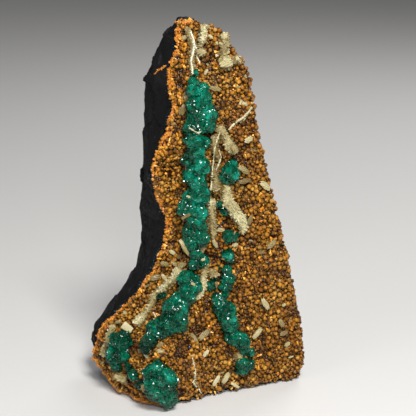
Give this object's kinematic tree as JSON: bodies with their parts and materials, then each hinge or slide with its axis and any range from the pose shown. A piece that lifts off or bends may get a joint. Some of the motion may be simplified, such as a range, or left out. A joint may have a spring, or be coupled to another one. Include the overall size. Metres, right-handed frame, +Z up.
{
  "type": "green apophyllite specimen",
  "caption": "Tall standing mineral specimen: green apophyllite and cream stilbite on a brown chalcedony crust over black basalt.",
  "frame": {"origin": "middle of the bounding box, on the plane that the stone stands on", "axes": "+X to the right as seen from the front, +Y into the stone from its crusted front, +Z up"},
  "size_m": [0.135, 0.1086, 0.2286],
  "materials": {
    "black_basalt": "broken stone, matt with a faint sheen",
    "brown_chalcedony": "small grown-together balls with a fine sugary sparkle",
    "green_apophyllite": "clear to cloudy green crystals with glassy flat faces",
    "cream_stilbite": "pearly, finely ribbed blades"
  },
  "bodies": {
    "root": {"apophyllite_crown_bud": "green_apophyllite", "apophyllite_foot_bud": "green_apophyllite", "apophyllite_fork_bud": "green_apophyllite", "apophyllite_front_foot": "green_apophyllite", "apophyllite_left_arm": "green_apophyllite", "apophyllite_left_bud": "green_apophyllite", "apophyllite_left_foot": "green_apophyllite", "apophyllite_right_knot": "green_apophyllite", "apophyllite_right_leg": "green_apophyllite", "apophyllite_right_plate": "green_apophyllite", "apophyllite_right_pod": "green_apophyllite", "apophyllite_right_stub": "green_apophyllite", "apophyllite_right_toe": "green_apophyllite", "apophyllite_seam_bud_high": "green_apophyllite", "apophyllite_seam_bud_low": "green_apophyllite", "apophyllite_trunk": "green_apophyllite", "basalt_matrix": "black_basalt", "chalcedony_crust": "brown_chalcedony", "stilbite_blade_01": "cream_stilbite", "stilbite_blade_02": "cream_stilbite", "stilbite_blade_03": "cream_stilbite", "stilbite_blade_04": "cream_stilbite", "stilbite_blade_05": "cream_stilbite", "stilbite_blade_06": "cream_stilbite", "stilbite_blade_07": "cream_stilbite", "stilbite_blade_08": "cream_stilbite", "stilbite_blade_09": "cream_stilbite", "stilbite_blade_10": "cream_stilbite", "stilbite_blade_11": "cream_stilbite", "stilbite_blade_12": "cream_stilbite", "stilbite_blade_13": "cream_stilbite", "stilbite_blade_14": "cream_stilbite", "stilbite_blade_15": "cream_stilbite", "stilbite_blade_16": "cream_stilbite", "stilbite_blade_17": "cream_stilbite", "stilbite_blade_18": "cream_stilbite", "stilbite_blade_19": "cream_stilbite", "stilbite_blade_20": "cream_stilbite", "stilbite_blade_21": "cream_stilbite", "stilbite_blade_22": "cream_stilbite", "stilbite_blade_23": "cream_stilbite", "stilbite_blade_24": "cream_stilbite", "stilbite_crown_edge": "cream_stilbite", "stilbite_crown_left": "cream_stilbite", "stilbite_crown_right": "cream_stilbite", "stilbite_foot_rim": "cream_stilbite", "stilbite_foot_sill": "cream_stilbite", "stilbite_fork_knob": "cream_stilbite", "stilbite_fork_seam": "cream_stilbite", "stilbite_left_seam": "cream_stilbite", "stilbite_leg_patch": "cream_stilbite", "stilbite_middle_seam_high": "cream_stilbite", "stilbite_middle_seam_low": "cream_stilbite", "stilbite_right_seam_high": "cream_stilbite", "stilbite_right_seam_low": "cream_stilbite", "stilbite_top_seam": "cream_stilbite"}
  },
  "joints": []
}
